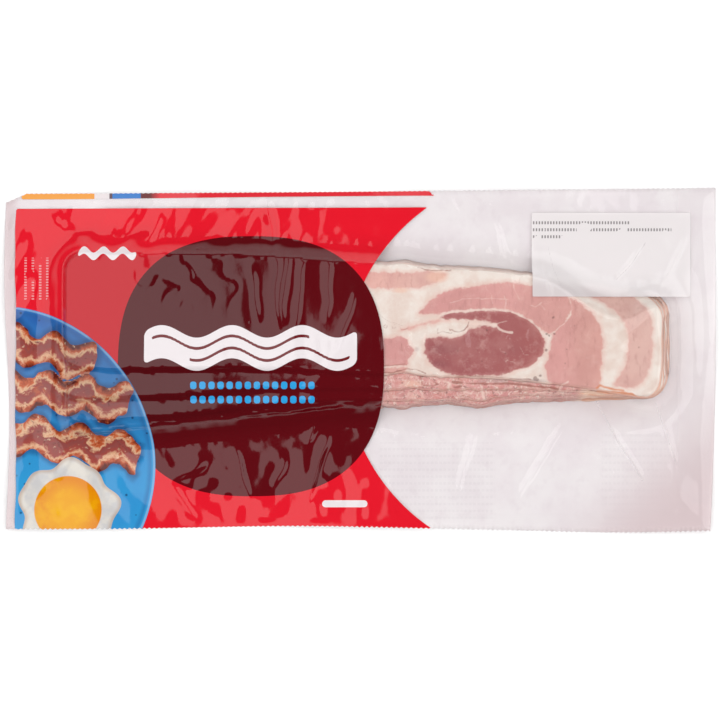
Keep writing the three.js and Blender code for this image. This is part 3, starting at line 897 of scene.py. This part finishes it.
def serving_picture(tree, place):
    """Colour of the printed serving picture: a speckled blue plate, wavy fried rashers, an egg."""
    crisp = cloud(tree, place, 240, 6, 0.65, 1.0)
    speck = ramp(tree, add(tree, "TexVoronoi", {"Vector": place, "Scale": 260}), 0.16, 0.1, 0.75)
    lip = all_of(tree, field_share(tree, "lip", 0.05, 0.3), field_share(tree, "lip", 1.2, 0.6, 0.7))
    well = all_of(tree, field_share(tree, "lip", 1.2, 2), field_share(tree, "lip", 4, 2, 0.4))
    height = add(tree, "SeparateXYZ", {"Vector": place}).outputs["Y"]
    plate = coated(tree, colour("#2c5fa8"), [
        (ramp(tree, height, 0.015, -0.05), "#3198d0"),
        (patches(tree, place, 24, 0.35, 0.7, 0.5, 3), "#3384c8"),
        (well, "#2a5590"), (speck, "#1d3358"), (lip, "#8fb9df"),
        (("rasher", -3.2, 0, 0.6), "#1c386c"),
    ])
    stripe = maths(tree, "MULTIPLY_ADD", crisp, 1.5, mesh_field(tree, "across"))
    meat = graded(tree, stripe, [
        (-0.4, "#5c1c17"), (-0.1, "#b4502f"), (0.15, "#e0b08c"), (0.4, "#a04840"), (0.8, "#8e4a46"),
        (1.05, "#96403a"), (1.25, "#deb48f"), (1.45, "#bf5a34"), (1.8, "#5e1c16")])
    gold = ramp(tree, crisp, 0.55, 0.68, 0.6)
    meat = coated(tree, meat, [
        (all_of(tree, gold, patches(tree, place, 12, 0.45, 0.6)), "#d8703a"),
        (ramp(tree, crisp, 0.4, 0.28, 0.75), "#3f1512"),
        (patches(tree, place, 2.4, 0.62, 0.72, 0.6), "#e9c9ab"),
    ])
    white = coated(tree, colour("#c8c6c6"), [
        (patches(tree, place, 7, 0.35, 0.65), "#dcd6cd"),
        (("egg", 2.2, 0.2, 0.45), "#a8805f"),
    ])
    yolk = coated(tree, colour("#de8405"), [
        (("yolk", 0, 8), "#e9a200"),
        (patches(tree, place, 9, 0.45, 0.65, 0.5), "#f0b804"),
    ])
    return coated(tree, plate, [
        (("rasher", -0.08, 0.08), meat), (("egg", -0.08, 0.08), white),
        (("yolk", -0.2, 0.2), yolk),
    ])


def printed_film():
    """Clear polyamide film, reverse printed in gloss gravure inks: what is printed is solid and
    shiny, what isn't is clear with a breath of milk, and all of it mirrors sharply."""
    material, tree, place = new_material("gloss_printed_film")
    along = add(tree, "SeparateXYZ", {"Vector": place}).outputs["X"]
    strip = graded(tree, along, [(MM * at, text) for at, text in NEXT_PRINT])
    label = field_share(tree, "label", -0.05, 0.05, LABEL_COVER)
    # Painted shade: dark lines along the sharp creases.
    crease_shade = field_share(tree, "crease_shade", 0.45, 0.1, 0.4)
    cover = maths(tree, "ADD", field_share(tree, "seal", -0.5, 0.5, 0.1), CLEAR_COVER)
    # Painted shade: the label darker where it lies over the stack.
    tint = coated(tree, colour("#f1e9ec"), [
        (label, "#f4eeee"), (("under", 0, 1, 0.7), "#d9d0d1"), (crease_shade, "#a3969c")])
    # Painted shade where the meat lies behind the inks: the red, the dark blob and the picture are darkened
    # there.
    shade = field_share(tree, "meat_behind_shade", 0, 1, 0.3)
    red = coated(tree, colour("#e2182a"), [(shade, "#1c0306")])
    dark = coated(tree, colour("#5d0710"), [(shade, "#2a0205")])
    picture = coated(tree, serving_picture(tree, place),
                     [(("meat_behind_shade", 0, 1, 0.2), "#0b1420")])
    inks = [(field_share(tree, name, -0.06, 0.06), ink) for name, ink in (
        ("red_field", red), ("blob", dark), ("plate", picture), ("rasher", picture),
        ("egg", picture), ("strip", strip), ("white", "#e9e1e3"), ("lines", "#702024"))]
    words = patches(tree, place, 5, 0.4, 0.42, 0.8, 0)
    rows = [("#2f9fdd", 1, (-66.4, -10.1), (3.62, 5.7), (1.25, 1.5), 1, (-68.4, -18.2), (-17.4, -8))]
    for level, end in ((55, 108), (52.2, 124.8), (49.4, 83.8)):
        rows.append(("#6d686a", words, (69.6, level), (1.15, 8), (0.3, 0.6), 0.15,
                     (69, level - 0.8), (end, level + 0.8)))
    rows.append(("#e9a9ab", words, (-134, 24.5), (2.9, 1.1), (0.5, 0.3), 0.15, (-135.4, 23.8), (-124, 41)))
    inks += [(all_of(tree, dashes(tree, place, *block), strength), text) for text, strength, *block in rows]
    tint = coated(tree, tint, inks)
    for mask in (label, crease_shade, *(share for share, _ in inks)):
        cover = maths(tree, "MAXIMUM", cover, mask)
    steep = maths(tree, "POWER", add(tree, "LayerWeight", {}).outputs["Facing"], 5)
    sheen = add(tree, "MapRange", {0: steep, 3: HEAD_ON_SHEEN})
    beads = ramp(tree, add(tree, "TexVoronoi", {"Vector": place, "Scale": 170}), 0.14, 0)
    beads = all_of(tree, beads, patches(tree, place, 12, 0.57, 0.66, 0.7))
    bumps = maths(tree, "MULTIPLY_ADD", cloud(tree, place, 260, 2), 0.2, beads)
    bump = add(tree, "Bump", {"Height": bumps, "Strength": 0.16, "Distance": 0.0005})
    clear = add(tree, "BsdfTransparent", {})
    mirror = add(tree, "BsdfGlossy", {"Roughness": 0.05, "Normal": bump})
    bare = add(tree, "MixShader", {0: sheen, 1: clear, 2: mirror})
    inked = add(tree, "BsdfPrincipled",
                {"Base Color": tint, "Roughness": 0.06, "IOR": 1.5, "Normal": bump})
    film = add(tree, "MixShader", {0: cover, 1: bare, 2: inked})
    add(tree, "OutputMaterial", {"Surface": film})
    return material


x, y = film_grid(TOP_ROWS)
drape_map, nearest_map = film_drape(map_x, map_y)
nearest = read_map(nearest_map, x, y)
clearance = RIM_GAP + 0.2 * smooth(0, 6, from_edge(x, y))
pleats = film_pleats(x, y, nearest) * smooth(0, 5, from_edge(x, y)) + film_crumple(x, y, nearest)
height = rim_lift(x, y) + clearance + read_map(drape_map, x, y) + pleats
web = np.stack([x, y, height], -1).reshape(-1, 3)
new_piece("top_web", web, grid_quads(*x.shape), printed_film(), print_fields(x, y, nearest))

# Studio
# White paper under two large softboxes either side of the camera, with a dark gap above it. They
# stand back from the near side, which a third lamp fills without being mirrored in the film.
PAPER_HALF = 4
LAMP_HEIGHT = 2.0
CAMERA_HEIGHT = 1.604
FOCAL_LENGTH = 200
SENSOR_WIDTH = 36
SKY_GLOW = 0.05
HORIZON_GLOW = 0.9
# Lamps: their name, their edges along X and Y, their radiance, and whether the film mirrors them.
LAMPS = [
    ("left_softbox", -5, -0.095, -0.9, 3.5, 1.4, True), ("right_softbox", 0.35, 5, -0.9, 3.5, 1.5, True),
    ("near_fill", -5, 5, -3.5, -0.9, 1.25, False),
]


def paper():
    """Matt white background paper, with a trace of tooth."""
    material, tree, place = new_material("matt_white_paper")
    tint = coated(tree, colour("#fdfdfd"), [(patches(tree, place, 1.1, 0.3, 0.7), "#ffffff")])
    sheet = add(tree, "BsdfPrincipled",
                {"Base Color": tint, "Roughness": 0.9, "Specular IOR Level": 0.2})
    add(tree, "OutputMaterial", {"Surface": sheet})
    return material


sheet = bpy.data.meshes.new("floor")
corners = [(PAPER_HALF * i, PAPER_HALF * j, 0) for i, j in ((-1, -1), (1, -1), (1, 1), (-1, 1))]
sheet.from_pydata(corners, [], [(0, 1, 2, 3)])
sheet.materials.append(paper())
floor = bpy.data.objects.new("floor", sheet)
bpy.context.scene.collection.objects.link(floor)

for name, left, right, near, far, radiance, mirrored in LAMPS:
    lamp = bpy.data.lights.new(name, "AREA")
    lamp.shape = "RECTANGLE"
    lamp.size = right - left
    lamp.size_y = far - near
    lamp.energy = radiance * np.pi * lamp.size * lamp.size_y
    softbox = bpy.data.objects.new(name, lamp)
    softbox.location = ((left + right) / 2, (near + far) / 2, LAMP_HEIGHT)
    softbox.visible_glossy = mirrored
    bpy.context.scene.collection.objects.link(softbox)

world = bpy.data.worlds.new("studio")
bpy.context.scene.world = world
world.use_nodes = True
sky = world.node_tree
sky.nodes.clear()
direction = add(sky, "TexCoord", {}).outputs["Generated"]
height = add(sky, "SeparateXYZ", {"Vector": direction}).outputs["Z"]
strength = add(sky, "MapRange", {0: height, 1: 0.05, 2: 0.16, 3: HORIZON_GLOW, 4: SKY_GLOW})
glow = add(sky, "Background", {"Color": (1, 1, 1, 1), "Strength": strength})
add(sky, "OutputWorld", {"Surface": glow})

lens = bpy.data.cameras.new("camera")
lens.lens = FOCAL_LENGTH
lens.sensor_width = SENSOR_WIDTH
camera = bpy.data.objects.new("camera", lens)
camera.location = (0, 0, CAMERA_HEIGHT)
bpy.context.scene.collection.objects.link(camera)
bpy.context.scene.camera = camera
bpy.context.scene.view_settings.view_transform = "Standard"
